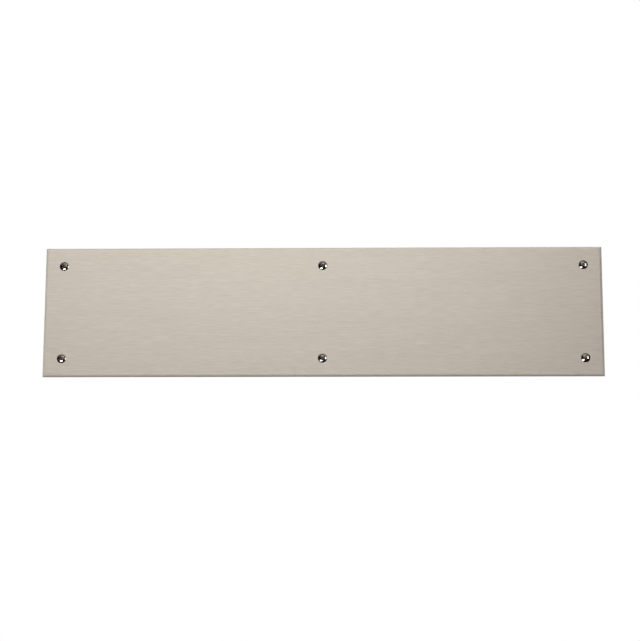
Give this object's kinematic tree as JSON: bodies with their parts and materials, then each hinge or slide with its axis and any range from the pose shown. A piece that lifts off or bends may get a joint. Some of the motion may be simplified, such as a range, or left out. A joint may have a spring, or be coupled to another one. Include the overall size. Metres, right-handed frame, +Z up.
{
  "type": "kick plate",
  "caption": "Door kick plate: a flat bevelled metal sheet, brushed lengthwise, held by oval-head cross-recess wood screws near its corners and at the middle of its long edges.",
  "frame": {"origin": "centre of the plate's back face, the face that lies against the door", "axes": "+X along the plate to the right as seen from the front, +Z up, the front faces -Y"},
  "size_m": [0.8636, 0.0338, 0.2032],
  "materials": {
    "satin_nickel": "nickel-plated brass sheet, brushed lengthwise to a satin grain",
    "polished_nickel": "nickel-plated steel, polished bright"
  },
  "bodies": {
    "plate": {"plate": "satin_nickel"},
    "screw_top_left": {"screw_top_left": "polished_nickel"},
    "screw_top_middle": {"screw_top_middle": "polished_nickel"},
    "screw_top_right": {"screw_top_right": "polished_nickel"},
    "screw_bottom_left": {"screw_bottom_left": "polished_nickel"},
    "screw_bottom_middle": {"screw_bottom_middle": "polished_nickel"},
    "screw_bottom_right": {"screw_bottom_right": "polished_nickel"}
  },
  "joints": [
    {"name": "top_left_screw_out", "type": "slide", "parent": "plate", "child": "screw_top_left", "axis": [0, -1, 0], "range_m": [0, 0.04]},
    {"name": "top_middle_screw_out", "type": "slide", "parent": "plate", "child": "screw_top_middle", "axis": [0, -1, 0], "range_m": [0, 0.04]},
    {"name": "top_right_screw_out", "type": "slide", "parent": "plate", "child": "screw_top_right", "axis": [0, -1, 0], "range_m": [0, 0.04]},
    {"name": "bottom_left_screw_out", "type": "slide", "parent": "plate", "child": "screw_bottom_left", "axis": [0, -1, 0], "range_m": [0, 0.04]},
    {"name": "bottom_middle_screw_out", "type": "slide", "parent": "plate", "child": "screw_bottom_middle", "axis": [0, -1, 0], "range_m": [0, 0.04]},
    {"name": "bottom_right_screw_out", "type": "slide", "parent": "plate", "child": "screw_bottom_right", "axis": [0, -1, 0], "range_m": [0, 0.04]}
  ]
}
